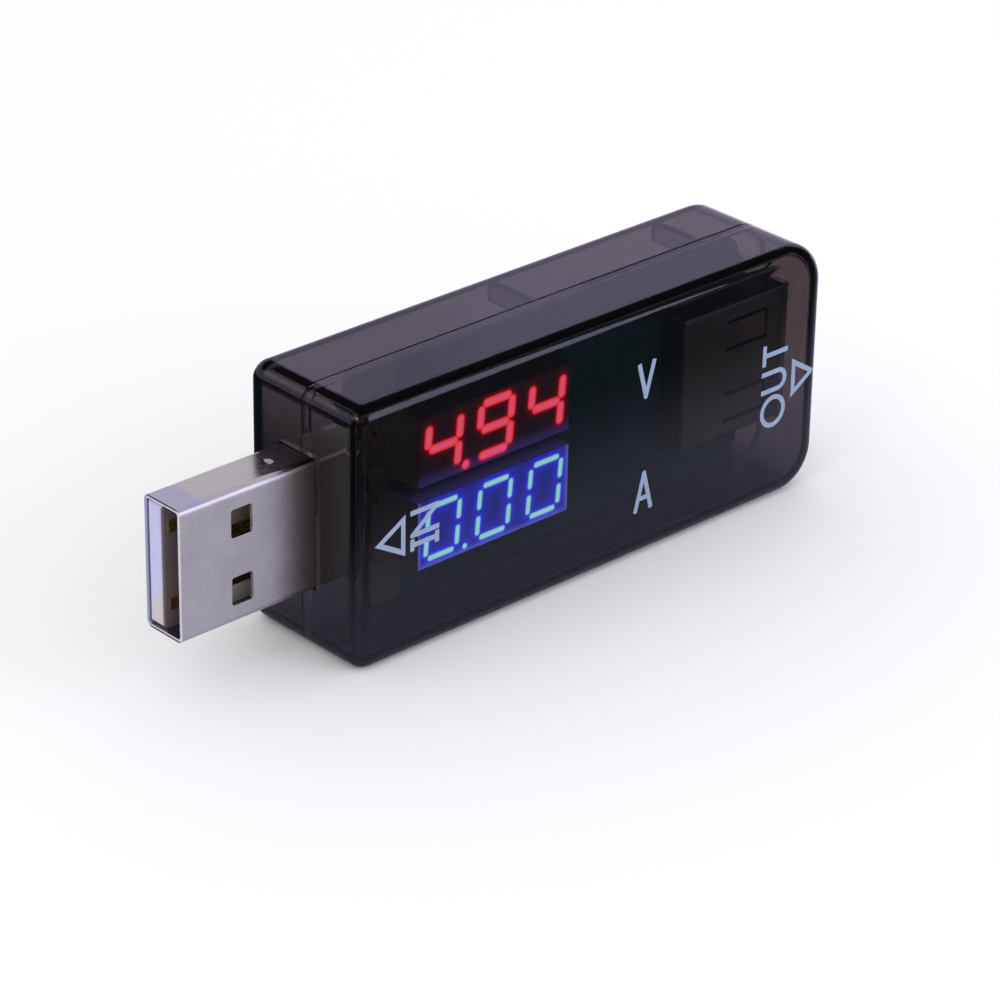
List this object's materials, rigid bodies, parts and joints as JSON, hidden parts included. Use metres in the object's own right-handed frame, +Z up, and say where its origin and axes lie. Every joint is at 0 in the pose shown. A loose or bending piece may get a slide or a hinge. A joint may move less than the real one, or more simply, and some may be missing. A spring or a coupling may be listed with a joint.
{
  "type": "usb power meter",
  "caption": "Plug-in USB volt and amp meter: smoked see-through housing, USB-A plug at one end and socket at the other, two rows of lit digits on its face.",
  "frame": {"origin": "centre of the underside of the whole meter's box: halfway between the plug's tip and the housing's socket end, halfway between the display face and the back", "axes": "+X from the plug to the socket, -Y is the way the display faces, +Z up as the digits read"},
  "size_m": [0.068, 0.014, 0.0238],
  "materials": {
    "smoked_plastic": "glossy see-through smoke-grey polycarbonate, moulded",
    "white_ink": "thin pale blue-white screen print",
    "volts_display_black": "matt black paint on a moulded display block",
    "red_light": "clear casting lit from behind in red",
    "volts_unlit_epoxy": "clear casting, unlit",
    "amps_display_face": "display face washed by its own blue light",
    "blue_light": "clear casting lit from behind in blue",
    "amps_unlit_epoxy": "clear casting, unlit",
    "gold_plating": "thin gold plating",
    "green_laminate": "glass-fibre laminate with green solder mask",
    "solder": "bright tin solder",
    "tinned_metal": "tin-plated lead metal",
    "black_moulding": "black moulding",
    "brown_ceramic": "brown ceramic",
    "plug_steel": "satin nickel-plated steel sheet",
    "socket_steel": "nickel-plated steel sheet",
    "white_insulator": "white moulded insulator"
  },
  "bodies": {
    "root": {"front_cover": "smoked_plastic", "rear_cover": "smoked_plastic", "printed_marks": "white_ink", "volts_display_case": "volts_display_black", "volts_display_lit_bars": "red_light", "volts_display_unlit_bars": "volts_unlit_epoxy", "volts_display_dies": "gold_plating", "volts_display_base": "green_laminate", "volts_display_pins": "tinned_metal", "amps_display_case": "amps_display_face", "amps_display_lit_bars": "blue_light", "amps_display_unlit_bars": "amps_unlit_epoxy", "amps_display_dies": "gold_plating", "amps_display_base": "green_laminate", "amps_display_pins": "tinned_metal", "circuit_board": "green_laminate", "board_solder": "solder", "controller_chip": "black_moulding", "controller_leads": "tinned_metal", "regulator_chip": "black_moulding", "regulator_leads": "tinned_metal", "shunt_resistor": "black_moulding", "shunt_terminals": "tinned_metal", "small_resistors": "black_moulding", "small_capacitors": "brown_ceramic", "small_part_terminals": "tinned_metal", "plug_shell": "plug_steel", "plug_insulator": "white_insulator", "plug_power_contact": "gold_plating", "plug_data_minus_contact": "gold_plating", "plug_data_plus_contact": "gold_plating", "plug_ground_contact": "gold_plating", "socket_shell": "socket_steel", "socket_insulator": "black_moulding", "socket_power_contact": "gold_plating", "socket_data_minus_contact": "gold_plating", "socket_data_plus_contact": "gold_plating", "socket_ground_contact": "gold_plating"}
  },
  "joints": []
}
